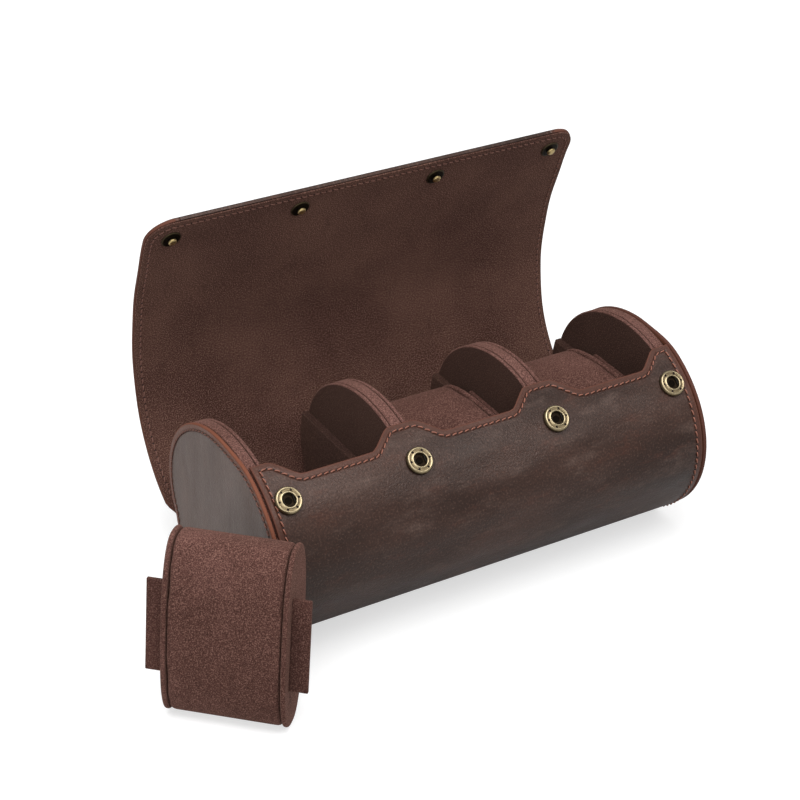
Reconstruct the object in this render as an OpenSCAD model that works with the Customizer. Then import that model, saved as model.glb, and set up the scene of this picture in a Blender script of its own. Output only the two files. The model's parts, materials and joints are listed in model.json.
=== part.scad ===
// Travel roll for three watches.
// A leather wrap with a suede lining holds two end drums and two dividers,
// which part it into three bays. The back of the wrap runs on as a flap that
// folds over the top and snaps down on the front. Each bay takes a padded
// pillow that hangs by its two wings on low ledges.
// X runs along the roll, Y to the back, Z up. The origin is on the surface
// that the roll rests on, under the middle of its oval section.

/* [Roll] */
// Clear width of one bay, wall to wall
bay_w = 60; // [56:0.5:72]
// Thickness of a divider, over both of its face boards
divider_t = 9; // [7:0.5:13]
// Thickness of an end, from its leather face to its inner board
end_t = 9; // [7:0.5:13]
// Depth of the oval section, front to back
roll_depth = 109.6; // [104:0.2:118]
// Height of the oval section before it settles
roll_height = 94; // [90:0.5:104]
// How far the underside is pressed flat by its own weight
settle = 1.6; // [0.8:0.1:2.4]

/* [Skins] */
// Thickness of the leather
leather_t = 1.8; // [1.4:0.1:2.2]
// Thickness of the suede lining
lining_t = 0.8; // [0.5:0.1:1.1]
// Thickness of the suede strip round the rim of a drum or divider
band_t = 0.8; // [0.5:0.1:1.1]
// Thickness of the face boards of the drums and dividers
board_t = 1.6; // [1.2:0.1:2.2]
// Layer of glue between two skins
glue = 0.05; // [0.03:0.01:0.1]

/* [Front edge] */
// Place of the tab tops, in degrees forward from the top of the oval
tab_at = 23.7; // [18:0.1:27]
// Depth of a scallop below the tab tops
scallop_d = 9; // [6:0.5:11]
// Width of a scallop at its mouth
scallop_w = 55; // [46:0.5:56]
// Width of a scallop at its floor
scallop_floor = 35; // [26:0.5:40]

/* [Flap] */
// Place of the flap's bend, in degrees back from the top of the oval
bend_at = 120; // [116:0.5:124]
// How far the flap stands out past each end of the roll
flap_over = 0.5; // [-2:0.5:2]
// Radius of the flap's two free corners
flap_corner = 12; // [6:0.5:18]
// Length of one of the five strips that the flap bends between
strip_len = 31.2; // [29:0.1:33]
// Gap at the inner face between two strips
strip_gap = 0.3; // [0.2:0.05:0.5]
// Extra angle that the flap can be pushed back past its open rest
push_back = 12; // [0:1:15]
// Height of the flap's inner face above the lining where it bends
bend_rise = 1.2; // [1:0.1:1.4]

/* [Snaps] */
// Place of the snaps, in degrees forward from the top of the oval
snap_at = 44.8; // [42:0.1:46]
// Distance of the outer snaps from the ends of the roll
snap_inset = 11.5; // [11:0.5:13]
// Distance of the studs from the flap's free edge
stud_inset = 11.25; // [10:0.05:14]
// Diameter of the socket ring
ring_d = 12; // [11:0.5:13]
// Height of the socket ring
ring_h = 2.2; // [1.8:0.1:2.4]
// Diameter of the well in the socket
well_d = 6; // [5.6:0.1:6.6]
// Diameter of the ball of the stud
ball_d = 4; // [3.4:0.1:4.4]
// Diameter of the cap on the outside of the flap
cap_d = 12.5; // [11:0.5:13.5]
// Height of the cap
cap_h = 2; // [1.4:0.1:2.4]
// Diameter of the rivet posts
post_d = 3; // [2.4:0.1:3.2]

/* [Ledges] */
// Height of the ledge tops above the surface under the roll
ledge_top = 57; // [54:0.5:60]
// How far a ledge stands proud of its wall
ledge_t = 3.6; // [3.2:0.1:4]

/* [Pillows] */
// Width of a pillow over its two side plates
pillow_w = 52; // [50:0.2:52.4]
// Length of a pillow
pillow_h = 80; // [70:0.5:84]
// Thickness of a pillow
pillow_d = 30; // [27:0.5:36]
// Thickness of a pillow's side plate
plate_t = 2.2; // [1.6:0.1:2.8]
// Gap between the cushion and a side plate
piping = 0.8; // [0.4:0.1:1.2]
// Length of a wing
wing_l = 41; // [34:0.5:46]
// Reach of a wing from the middle of the pillow; in a bay its end bends up
wing_reach = 34; // [31:0.5:35]
// Thickness of a wing
wing_t = 1.8; // [1.4:0.1:2.2]
// Distance of a wing's upper face below the front of the pillow
wing_drop = 6.5; // [5:0.1:8]
// Thickness of the suede cover of the cushion
cover_t = 1; // [0.7:0.1:1.4]

/* [Pillow that stands in front] */
// How far its middle stands out past the left end of the roll
loose_out = 23.1; // [23:0.1:50]
// How far its middle lies in front of the foremost line of the roll
loose_fore = 1.4; // [1.4:0.1:20]
// Turn about the vertical
loose_turn = -43; // [-60:1:-43]
// Lean back from the vertical
loose_lean = 10; // [0:1:12]

/* [Clearances] */
// Between a soft piece and what it rests on or lies beside
rest_gap = 0.3; // [0.2:0.05:0.5]
// Between the edge of the wrap and the disc on an end
disc_gap = 0.9; // [0.4:0.1:1.4]
// Between a rim band and the boards beside it
band_gap = 0.4; // [0.2:0.1:0.8]
// Between a wing's tip and the bay wall
wing_gap = 0.4; // [0.3:0.05:0.8]
// Between a rivet and its hole
rivet_gap = 0.1; // [0.05:0.05:0.2]

/* [Hidden] */
$fn = 48;

leather_colour = "#4a3a35";
face_colour = "#5a4a44";
suede_colour = "#5b3b35";
lining_colour = "#4d3733";
brass_colour = "#8a744a";
foam_colour = "#c9b9a0";

// The oval section. t is the angle from the top, positive to the back.
oval_a = roll_depth / 2;
oval_b = roll_height / 2;
oval_z = oval_b - settle;
base_t = acos(oval_z / oval_b);
function oval_normal(t) =
    let (n = [sin(t) / oval_a, cos(t) / oval_b]) n / norm(n);
function oval_pt(t, grow) =
    [oval_a * sin(t), oval_z + oval_b * cos(t)] + grow * oval_normal(t);
function lean_of(t) = atan2(oval_normal(t)[0], oval_normal(t)[1]);
function steps(from, to, count) = [for (i = [0 : count]) from + (to - from) * i / count];
// Angles round the wrapped part, from the bend at the back, under the flat
// base, to the front edge; and all the way round
front_t = 360 - tab_at;
wrap_angles = concat(steps(bend_at, 180 - base_t, 9), steps(180 + base_t, front_t, 28));
open_angles = steps(front_t, 360 + bend_at, 28);
round_angles = concat(wrap_angles, [for (i = [1 : 27]) open_angles[i]]);

// Where the layers lie, measured out from the leather's outer face
leather_in = -leather_t;
lining_out = leather_in - glue;
lining_in = lining_out - lining_t;
band_out = lining_in - glue;
band_in = band_out - band_t;
core_out = band_in - glue;

// Places along the roll
case_half = 1.5 * bay_w + divider_t + end_t;
divider_x = (bay_w + divider_t) / 2;
bay_pitch = bay_w + divider_t;
shell_half = case_half - leather_t - disc_gap;
flap_w = 2 * (case_half + flap_over);
snap_x = [-(case_half - snap_inset), -divider_x, divider_x, case_half - snap_inset];

// The leather discs on the ends are flush with the wrap, and drop to the
// rim of the drum where the flap closes over them
disc_low = band_out + 0.2;
disc_high = -0.3;
disc_ramp = 25;
disc_lead = 6;
disc_back = lining_in + bend_rise - 2 * rest_gap;
function disc_grow(t) =
    let (u = t > 360 ? 1 : max(0, min(1, (t - (front_t - disc_lead)) / disc_ramp)))
    t < bend_at + 1 || t > 360 + bend_at - 1 ? disc_back : disc_high + (disc_low - disc_high) * u;

// Draws an outline of [y, z] points as a slab from x0 to x1
module slab(x0, x1, points)
    translate([x0, 0, 0]) rotate([90, 0, 90]) linear_extrude(x1 - x0) polygon(points);
function outline(grow) = [for (t = round_angles) oval_pt(t, grow)];
function wrap_skin(out, in) = concat(
    [for (t = wrap_angles) oval_pt(t, out)],
    [for (i = [len(wrap_angles) - 1 : -1 : 0]) oval_pt(wrap_angles[i], in)]);

// One scallop, cut square to the surface halfway down the front edge
module scallop() {
    top = oval_pt(front_t, 0);
    chamfer = 2;
    slope = (scallop_w - scallop_floor) / 2 / scallop_d;
    reach = 6;
    translate([0, top[0], top[1]]) rotate([-lean_of(front_t - 5), 0, 0])
        translate([0, 0, -reach]) linear_extrude(2 * reach) polygon([
            [-scallop_w / 2 - reach, reach], [-scallop_w / 2 - chamfer, 0],
            [-scallop_w / 2 + chamfer * slope / 2, -chamfer / 2],
            [-scallop_floor / 2 - chamfer * slope / 2, chamfer / 2 - scallop_d],
            [-scallop_floor / 2 + chamfer, -scallop_d],
            [scallop_floor / 2 - chamfer, -scallop_d],
            [scallop_floor / 2 + chamfer * slope / 2, chamfer / 2 - scallop_d],
            [scallop_w / 2 - chamfer * slope / 2, -chamfer / 2],
            [scallop_w / 2 + chamfer, 0], [scallop_w / 2 + reach, reach]]);
}
module scallops() for (i = [-1 : 1]) translate([i * bay_pitch, 0, 0]) scallop();

// The snaps sit square to the front of the wrap
snap_t = 360 - snap_at;
flange_d = 8;
flange_t = 0.6;
module at_sockets() {
    seat = oval_pt(snap_t, 0);
    for (x = snap_x) translate([x, seat[0], seat[1]]) rotate([-lean_of(snap_t), 0, 0]) children();
}

module shell_leather() color(leather_colour) difference() {
    slab(-shell_half, shell_half, wrap_skin(0, leather_in));
    scallops();
    at_sockets() {
        translate([0, 0, -2 * leather_t]) cylinder(d = post_d + 2 * rivet_gap, h = 3 * leather_t);
        translate([0, 0, -2 * leather_t])
            cylinder(d = flange_d + 2 * rivet_gap, h = leather_t + flange_t + rivet_gap);
    }
}

module shell_lining() color(lining_colour) difference() {
    slab(-shell_half, shell_half, wrap_skin(lining_out, lining_in));
    scallops();
}

// An end, drawn for the right: leather disc, core with its rim band, board
disc_bevel = 0.5;
module end_disc(side) color(face_colour) mirror([side < 0 ? 1 : 0, 0, 0]) {
    slab(case_half - leather_t, case_half - disc_bevel, [for (t = round_angles) oval_pt(t, disc_grow(t))]);
    slab(case_half - disc_bevel, case_half, [for (t = round_angles) oval_pt(t, disc_grow(t) - disc_bevel)]);
}
end_core_x0 = case_half - end_t + board_t + glue;
end_core_x1 = case_half - leather_t - glue;
module end_core(side) color(foam_colour) mirror([side < 0 ? 1 : 0, 0, 0])
    slab(end_core_x0, end_core_x1, outline(core_out));
module rim_band(x0, x1) color(suede_colour) difference() {
    slab(x0, x1, outline(band_out));
    slab(x0 - 1, x1 + 1, outline(band_in));
}
module end_band(side) mirror([side < 0 ? 1 : 0, 0, 0])
    rim_band(end_core_x0 + band_gap, end_core_x1 - band_gap);
module face_board(x0, x1) color(lining_colour) slab(x0, x1, outline(band_out));
module end_board(side) mirror([side < 0 ? 1 : 0, 0, 0])
    face_board(case_half - end_t, case_half - end_t + board_t);

// A divider: core with its rim band, and a face board on each side
divider_core_half = divider_t / 2 - board_t - glue;
module divider_core(side) color(foam_colour) translate([side * divider_x, 0, 0])
    slab(-divider_core_half, divider_core_half, outline(core_out));
module divider_band(side) translate([side * divider_x, 0, 0])
    rim_band(band_gap - divider_core_half, divider_core_half - band_gap);
module divider_board(side, face) translate([side * divider_x + face * (divider_t - board_t) / 2, 0, 0])
    face_board(-board_t / 2, board_t / 2);

// A ledge: a low board on the wall of a bay, bay and side being -1, 0 or 1
module ledge(bay, side) color(lining_colour) translate([bay * bay_pitch, 0, 0]) intersection() {
    mirror([side < 0 ? 1 : 0, 0, 0])
        slab(bay_w / 2 - ledge_t, bay_w / 2 - glue, outline(band_out - glue));
    translate([-bay_w, -oval_a, 0]) cube([2 * bay_w, 2 * oval_a, ledge_top]);
}

// The flap. Its inner face is a chain of five arcs that starts at the bend.
// Each arc lies along flap_dir degrees from level and turns by strip_turn,
// which is midway between its turn when open and its turn when closed.
flap_dir = [38, 69, 91, 106, 114];
strip_turn = [37, 32, 25, 21, 18];
// How far each joint follows the bend, and the bevel that lets it
follow = [1, 0.326, 0.343, 0.209, 0];
flap_t = lining_t + glue + leather_t;
last = len(flap_dir) - 1;
bend_pt = oval_pt(bend_at, lining_in + bend_rise);
function along(a) = [cos(a), sin(a)];
function joint_pt(k) = k == 0 ? bend_pt : joint_pt(k - 1) + strip_len * along(flap_dir[k - 1]);
function strip_r(k) = strip_len / (2 * sin(strip_turn[k] / 2));
function arc_dir(k, turn) = flap_dir[k] - strip_turn[k] / 2 + turn;
function arc_pt(k, turn) = let (from = arc_dir(k, 0), to = arc_dir(k, turn))
    joint_pt(k) + strip_r(k) * [sin(to) - sin(from), cos(from) - cos(to)];
wrap_dir = 90 - lean_of(bend_at) + 90;
function kink(k) = arc_dir(k, 0) - (k == 0 ? wrap_dir : arc_dir(k - 1, strip_turn[k - 1]));
function bevel_start(k) = k == 0 ? push_back - kink(0) : (push_back * follow[k] - kink(k)) / 2;
function bevel_end(k) = k == last ? 0 : -(push_back * follow[k + 1] - kink(k + 1)) / 2;
function skin_pt(k, turn, out, bevel) =
    arc_pt(k, turn) + out / cos(bevel) * along(arc_dir(k, turn) - 90 + bevel);
arc_steps = 8;
function strip_edge(k, out) = let (trim = strip_gap / 2 / strip_r(k) * 180 / PI)
    [for (i = [0 : arc_steps]) let (turn = trim + (strip_turn[k] - 2 * trim) * i / arc_steps)
        skin_pt(k, turn, out, i == 0 ? bevel_start(k) : i == arc_steps ? bevel_end(k) : 0)];
function strip_skin(k, in, out) = let (inner = strip_edge(k, in), outer = strip_edge(k, out))
    concat(outer, [for (i = [arc_steps : -1 : 0]) inner[i]]);

// The flap's plan at its free edge, with rounded corners
module free_edge() {
    reach = 40;
    run = 2 * strip_r(last) * sin(strip_turn[last] / 2) + 1;
    translate([0, joint_pt(last)[0], joint_pt(last)[1]]) rotate([flap_dir[last], 0, 0])
        translate([0, 0, -reach / 2]) linear_extrude(reach) {
            translate([-flap_w / 2, -reach]) square([flap_w, reach + run - flap_corner - 1]);
            translate([-flap_w / 2 + flap_corner, -reach]) square([flap_w - 2 * flap_corner, reach + run]);
            for (side = [-1, 1]) translate([side * (flap_w / 2 - flap_corner), run - flap_corner - 1])
                circle(r = flap_corner);
        }
}
stud_turn = strip_turn[last] - stud_inset / strip_r(last) * 180 / PI;
module at_studs() {
    seat = arc_pt(last, stud_turn);
    for (x = snap_x) translate([x, seat[0], seat[1]]) rotate([arc_dir(last, stud_turn), 0, 0]) children();
}
module strip(k, in, out) difference() {
    intersection() {
        slab(-flap_w / 2, flap_w / 2, strip_skin(k, in, out));
        if (k == last) free_edge();
        else translate([-flap_w / 2, -200, -200]) cube([flap_w, 600, 600]);
    }
    if (k == last) at_studs() translate([0, 0, -2 * flap_t])
        cylinder(d = post_d + 2 * rivet_gap, h = 4 * flap_t);
}
module flap_leather(k) color(leather_colour) strip(k - 1, lining_t + glue, flap_t);
module flap_lining(k) color(lining_colour) strip(k - 1, 0, lining_t);

// Snaps. A socket is a ring with a well and six pin holes; two spring wires
// cross the well; a flanged post rivets it through the wrap.
well_floor = 0.5;
module snap_sockets() color(brass_colour) at_sockets() difference() {
    translate([0, 0, glue]) rotate_extrude() polygon([
        [post_d / 2 + rivet_gap, 0], [ring_d / 2, 0], [ring_d / 2, ring_h * 0.35],
        [ring_d / 2 - 0.5, ring_h * 0.75], [ring_d / 2 - 1.2, ring_h], [well_d / 2 + 0.5, ring_h],
        [well_d / 2, ring_h - 0.4], [well_d / 2, well_floor], [post_d / 2 + rivet_gap, well_floor]]);
    for (i = [0 : 5]) rotate([0, 0, 60 * i])
        translate([(ring_d / 2 - 0.7 + well_d / 2) / 2, 0, ring_h - 0.6]) cylinder(d = 1, h = 2, $fn = 16);
}
wire_d = 0.5;
module snap_springs() color(brass_colour) at_sockets() for (side = [-1, 1])
    translate([side * (ball_d + wire_d + 0.3) / 2, 0, ring_h * 0.55 + glue]) rotate([90, 0, 0])
        cylinder(d = wire_d, h = well_d * 0.55, center = true, $fn = 16);
post_head = leather_t + glue + well_floor + 0.1;
module snap_posts() color(brass_colour) at_sockets() translate([0, 0, leather_in]) rotate_extrude() polygon([
    [0, 0], [flange_d / 2, 0], [flange_d / 2, flange_t], [post_d / 2, flange_t],
    [post_d / 2, post_head], [0, post_head]]);

// A stud is a flanged ball on the flap's inner face; the cap outside it is
// domed, and its post passes through the flap into the stud.
stud_base_d = 9;
stud_base_t = 0.7;
stud_bore = 0.6;
ball_top = 2.5;
stud_seat = stud_base_d * stud_base_d / 8 / strip_r(last) + glue;
module snap_studs() color(brass_colour) at_studs() translate([0, 0, stud_seat]) rotate_extrude() polygon([
    [0, stud_bore], [0, ball_top], [ball_d * 0.3, ball_top - 0.1], [ball_d * 0.45, ball_top - 0.4],
    [ball_d / 2, ball_top - 0.9], [ball_d * 0.42, ball_top - 1.4], [ball_d * 0.42, stud_base_t + 0.1],
    [stud_base_d / 2 - 1, stud_base_t], [stud_base_d / 2 - 0.2, stud_base_t * 0.7],
    [stud_base_d / 2, 0.2], [stud_base_d / 2, 0], [post_d / 2 + rivet_gap, 0],
    [post_d / 2 + rivet_gap, stud_bore]]);
module snap_caps() color(brass_colour) at_studs() rotate([180, 0, 0]) translate([0, 0, flap_t + glue])
    rotate_extrude() polygon([
        [0, -flap_t - glue - stud_seat - stud_bore + 0.2],
        [post_d / 2, -flap_t - glue - stud_seat - stud_bore + 0.2],
        [post_d / 2, 0], [cap_d / 2, 0], [cap_d / 2, 0.4], [cap_d / 2 - 0.5, cap_h * 0.55],
        [cap_d / 2 - 1.6, cap_h * 0.85], [cap_d / 4, cap_h * 0.97], [0, cap_h]]);

// Pillows. In its own frame a pillow lies on its back: X across, Y along its
// length, Z out of its front. Its side is a rounded oblong.
side_power = 2.6;
function bulge(v) = sign(v) * pow(abs(v), 2 / side_power);
function pillow_side(shrink) = [for (i = [0 : 47]) let (a = 7.5 * i)
    [(pillow_h / 2 - shrink) * bulge(cos(a)), (pillow_d / 2 - shrink) * bulge(sin(a))]];
cushion_half = pillow_w / 2 - plate_t - piping;
wing_out = bay_w / 2 - wing_gap;
pillow_z = ledge_top + rest_gap + wing_t + wing_drop - pillow_d / 2;
loose_z = -min([for (p = pillow_side(0)) p[0] * cos(loose_lean) + p[1] * sin(loose_lean)]);
module place_pillow(k) {
    if (k == 1) translate([-case_half - loose_out, -oval_a - loose_fore, loose_z]) rotate([0, 0, loose_turn])
        rotate([90 - loose_lean, 0, 0]) children();
    else translate([(k - 2) * bay_pitch, 0, pillow_z]) children();
}
module pillow_cover(k) color(suede_colour) place_pillow(k) difference() {
    slab(-cushion_half, cushion_half, pillow_side(0));
    slab(-pillow_w, pillow_w, pillow_side(cover_t));
}
module pillow_core(k) color(foam_colour) place_pillow(k)
    slab(-cushion_half, cushion_half, pillow_side(cover_t + glue));
module pillow_plates(k) color(suede_colour) place_pillow(k) for (side = [0, 1]) mirror([side, 0, 0])
    slab(pillow_w / 2 - plate_t, pillow_w / 2, pillow_side(0));
wing_root = pillow_w / 2 + glue;
wing_up = max(wing_reach - wing_out, 0.5);
module pillow_wings(k) color(lining_colour) place_pillow(k) for (side = [0, 1]) mirror([side, 0, 0])
    translate([0, wing_l / 2, pillow_d / 2 - wing_drop]) rotate([90, 0, 0]) linear_extrude(wing_l)
        polygon(k == 1
            ? [[wing_root, -wing_t], [wing_reach, -wing_t], [wing_reach, 0], [wing_root, 0]]
            : [[wing_root, -wing_t], [wing_out - 0.7 * wing_t, -wing_t], [wing_out, -0.3 * wing_t],
               [wing_out, wing_up], [wing_out - wing_t, wing_up], [wing_out - wing_t, 0.3 * wing_t],
               [wing_out - 1.3 * wing_t, 0], [wing_root, 0]]);

shell_leather();
shell_lining();
end_disc(-1);  // end_disc_left
end_core(-1);  // end_core_left
end_band(-1);  // end_band_left
end_board(-1);  // end_board_left
end_disc(1);  // end_disc_right
end_core(1);  // end_core_right
end_band(1);  // end_band_right
end_board(1);  // end_board_right
divider_core(-1);  // divider_left_core
divider_band(-1);  // divider_left_band
divider_board(-1, -1);  // divider_left_board_a
divider_board(-1, 1);  // divider_left_board_b
divider_core(1);  // divider_right_core
divider_band(1);  // divider_right_band
divider_board(1, -1);  // divider_right_board_a
divider_board(1, 1);  // divider_right_board_b
ledge(-1, -1);  // ledge_1_left
ledge(-1, 1);  // ledge_1_right
ledge(0, -1);  // ledge_2_left
ledge(0, 1);  // ledge_2_right
ledge(1, -1);  // ledge_3_left
ledge(1, 1);  // ledge_3_right
flap_leather(1);  // flap_leather_1
flap_leather(2);  // flap_leather_2
flap_leather(3);  // flap_leather_3
flap_leather(4);  // flap_leather_4
flap_leather(5);  // flap_leather_5
flap_lining(1);  // flap_lining_1
flap_lining(2);  // flap_lining_2
flap_lining(3);  // flap_lining_3
flap_lining(4);  // flap_lining_4
flap_lining(5);  // flap_lining_5
snap_sockets();
snap_springs();
snap_posts();
snap_studs();
snap_caps();
pillow_cover(1);  // pillow_1_cover
pillow_core(1);  // pillow_1_core
pillow_plates(1);  // pillow_1_plates
pillow_wings(1);  // pillow_1_wings
pillow_cover(2);  // pillow_2_cover
pillow_core(2);  // pillow_2_core
pillow_plates(2);  // pillow_2_plates
pillow_wings(2);  // pillow_2_wings
pillow_cover(3);  // pillow_3_cover
pillow_core(3);  // pillow_3_core
pillow_plates(3);  // pillow_3_plates
pillow_wings(3);  // pillow_3_wings
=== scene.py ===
import bmesh, bpy, json, math
import numpy as np
from mathutils import Matrix, Vector

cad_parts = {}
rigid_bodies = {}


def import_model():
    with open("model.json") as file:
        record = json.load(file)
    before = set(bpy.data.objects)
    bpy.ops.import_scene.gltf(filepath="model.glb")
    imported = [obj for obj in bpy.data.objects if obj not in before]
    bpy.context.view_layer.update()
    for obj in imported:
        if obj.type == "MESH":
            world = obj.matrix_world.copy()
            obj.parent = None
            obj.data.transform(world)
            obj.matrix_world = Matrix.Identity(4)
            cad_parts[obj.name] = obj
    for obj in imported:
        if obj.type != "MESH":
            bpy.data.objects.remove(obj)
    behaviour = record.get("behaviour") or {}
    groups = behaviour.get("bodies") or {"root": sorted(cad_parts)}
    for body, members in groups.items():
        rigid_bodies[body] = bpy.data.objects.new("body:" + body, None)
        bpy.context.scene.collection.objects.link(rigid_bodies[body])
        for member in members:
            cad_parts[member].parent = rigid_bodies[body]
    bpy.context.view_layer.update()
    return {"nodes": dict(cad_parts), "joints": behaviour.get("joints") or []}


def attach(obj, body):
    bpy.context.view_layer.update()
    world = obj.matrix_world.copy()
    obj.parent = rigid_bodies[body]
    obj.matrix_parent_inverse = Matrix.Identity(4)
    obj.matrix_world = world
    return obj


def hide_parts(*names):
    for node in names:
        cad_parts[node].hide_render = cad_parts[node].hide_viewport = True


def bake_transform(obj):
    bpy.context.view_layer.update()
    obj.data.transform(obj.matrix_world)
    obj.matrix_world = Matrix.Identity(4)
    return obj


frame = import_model()


# Camera.
# A long lens from the front left, a little above the roll.
cam = bpy.data.objects.new("camera", bpy.data.cameras.new("camera"))
cam.location = (-0.43139, -0.67594, 0.56656)
cam.rotation_euler = tuple(map(math.radians, (58.60, -1.16, -30.55)))
cam.data.lens = 96.3
cam.data.sensor_width = 36
cam.data.clip_start, cam.data.clip_end = 0.02, 50
bpy.context.scene.collection.objects.link(cam)
bpy.context.scene.camera = cam
bpy.context.scene.view_settings.view_transform = "Standard"


# The section of the roll.
# Its inner face is an oval, pressed flat below, which runs on at the back as
# the open flap. It is kept as a curve with a place for each length s.
oval_half_y, oval_half_z, oval_mid_z = 0.0548, 0.047, 0.0454
skin_t = 0.00265
front_at, back_at = 336.3, 124.0  # where the wrap starts and ends on the oval, in degrees from the top
strip_dirs = (38, 69, 91, 106, 114)  # the slope of each strip of the open flap
strip_turns = (37, 32, 25, 21, 18)  # how far each strip curves
curve_step = 0.0005


def oval(t, grow=0.0):
    """A point of the oval at t degrees from its top, moved outwards by grow and not below the floor."""
    t = np.radians(np.asarray(t, float))
    n = np.stack([np.sin(t) / oval_half_y, np.cos(t) / oval_half_z], -1)
    n /= np.linalg.norm(n, axis=-1, keepdims=True)
    p = np.stack([oval_half_y * np.sin(t), oval_mid_z + oval_half_z * np.cos(t)], -1) + grow * n
    p[..., 1] = np.maximum(p[..., 1], -min(grow, 0.0))
    return p


hinges = [np.array(next(j for j in frame["joints"] if j["name"] == n)["pos_m"])[1:]
          for n in ("flap_fold", "flap_bend_2", "flap_bend_3", "flap_bend_4", "snap_edge")]
strip_len = float(np.linalg.norm(hinges[1] - hinges[0]))


def section():
    wrap = oval(np.linspace(front_at, back_at, 400), -skin_t)
    chain = []
    for start, d, turn in zip(hinges, strip_dirs, strip_turns):
        r = strip_len / 2 / math.sin(math.radians(turn / 2))
        a = np.radians(d - turn / 2 + turn * np.linspace(0, 1, 24))
        chain.append(start + r * np.stack([np.sin(a) - math.sin(a[0]), math.cos(a[0]) - np.cos(a)], -1))
    flap = np.concatenate(chain)
    bridged = 0.006  # the first of the flap is left out, and the curve runs straight across
    width, reach = 0.006, 40  # the width of the blur, and its reach in steps
    keep = np.linalg.norm(flap - hinges[0], axis=1) > bridged
    p = np.concatenate([wrap, flap[keep]])
    s = np.r_[0, np.cumsum(np.linalg.norm(np.diff(p, axis=0), axis=1))]
    fine = np.arange(0, s[-1], curve_step)
    p = np.stack([np.interp(fine, s, p[:, i]) for i in (0, 1)], -1)
    # rounds the corners between the strips, and leaves the oval as it is
    w = np.exp(-0.5 * (np.arange(-reach, reach + 1) * curve_step / width) ** 2)
    w /= w.sum()

    def blur(q):
        pad = np.concatenate([q[0] + (np.arange(-reach, 0)[:, None]) * (q[1] - q[0]), q,
                              q[-1] + (np.arange(1, reach + 1)[:, None]) * (q[-1] - q[-2])])
        return np.stack([np.convolve(pad[:, i], w, "valid") for i in (0, 1)], -1)

    once = blur(p)
    smooth = 2 * once - blur(once)
    bend = fine[np.argmin(np.linalg.norm(p - hinges[0], axis=1))]
    before, blend_len = 0.035, 0.02  # the rounding fades in from 35 mm to 15 mm before the first hinge
    u = np.clip((fine - bend + before) / blend_len, 0, 1)[:, None]
    p = p * (1 - u) + smooth * u
    s = np.r_[0, np.cumsum(np.linalg.norm(np.diff(p, axis=0), axis=1))]
    tangent = np.gradient(p, s, axis=0)
    tangent /= np.linalg.norm(tangent, axis=1, keepdims=True)
    return s, p, np.stack([tangent[:, 1], -tangent[:, 0]], -1)


curve_s, curve_p, curve_n = section()
s_hinge = [float(curve_s[np.argmin(np.linalg.norm(curve_p - h, axis=1))]) for h in hinges]
s_end = float(curve_s[-1])


def on_curve(x, s, off):
    """Points at x along the roll, s along the section and off outwards, and the outward normals."""
    x, s, off = np.broadcast_arrays(x, s, off)
    y, z = (np.interp(s, curve_s, curve_p[:, i]) for i in (0, 1))
    n = np.stack([np.interp(s, curve_s, curve_n[:, i]) for i in (0, 1)], -1)
    n /= np.linalg.norm(n, axis=-1, keepdims=True)
    ny, nz = n[..., 0], n[..., 1]
    past = np.maximum(s - s_end, 0)
    p = np.stack([x, y + off * ny - past * nz, z + off * nz + past * ny], -1)
    return p, np.concatenate([np.zeros(n.shape[:-1] + (1,)), n], -1)


# The outline of the skin, in x along the roll and s along the section.
# The front edge has four tabs and three scallops; the sides step out where
# the flap begins; the free edge has round corners.
wrap_half, flap_half, corner = 0.1053, 0.1085, 0.012
bay_pitch = 0.069
scallop_half, scallop_slope, scallop_deep, scallop_round = 0.0275, 0.010, 0.009, 0.0009
step_from, step_len = 0.001, 0.009  # the sides' step out, from the first hinge


def front_edge(x):
    """How far the front edge is cut back at x."""
    step = 0.0002
    fine = np.arange(-0.112, 0.112, step)
    near = np.min([np.abs(fine - c) for c in (-bay_pitch, 0, bay_pitch)], axis=0)
    w = np.exp(-0.5 * (np.arange(-20, 21) * step / scallop_round) ** 2)
    cut = np.clip((scallop_half - near) / scallop_slope, 0, 1) * scallop_deep
    return np.interp(x, fine, np.convolve(cut, w / w.sum(), "same"))


def half_width(s):
    u = np.clip((s - s_hinge[0] - step_from) / step_len, 0, 1)
    wide = wrap_half + (flap_half - wrap_half) * u * u * (3 - 2 * u)
    c = np.clip((s - (s_end - corner)) / corner, 0, 1)
    return wide - corner * (1 - np.sqrt(np.maximum(1 - c * c, 0)))


def outline(inset=0.0):
    """The skin's outline as a closed line of points, moved inwards by inset."""
    x = np.linspace(-wrap_half, wrap_half, 600)
    side = np.linspace(0, s_end - corner, 700)[1:]
    turn = s_end - corner + corner * np.sin(np.linspace(0, math.pi / 2, 40))[1:]
    right = np.r_[side, turn]
    p = np.concatenate([
        np.stack([x, front_edge(x)], -1), np.stack([half_width(right), right], -1),
        np.stack([-half_width(right[::-1]), right[::-1]], -1)])
    if inset:
        d = np.roll(p, -1, 0) - np.roll(p, 1, 0)
        d /= np.maximum(np.linalg.norm(d, axis=1, keepdims=True), 1e-9)
        moved = p + inset * np.stack([-d[:, 1], d[:, 0]], -1)
        far = np.array([np.min(np.hypot(*(p - q).T)) for q in moved])
        p = moved[far > inset * 0.985]  # drops the loops that form in tight corners
    return p


edge_line = outline()


def edge_distance(q):
    """The distance of each point (x, s) from the skin's edge, worked out in batches."""
    out, batch = np.full(len(q), 1.0), 2000
    for i in range(0, len(q), batch):
        out[i : i + batch] = np.min(np.linalg.norm(q[i : i + batch, None] - edge_line[None], axis=2), axis=1)
    return out


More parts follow.
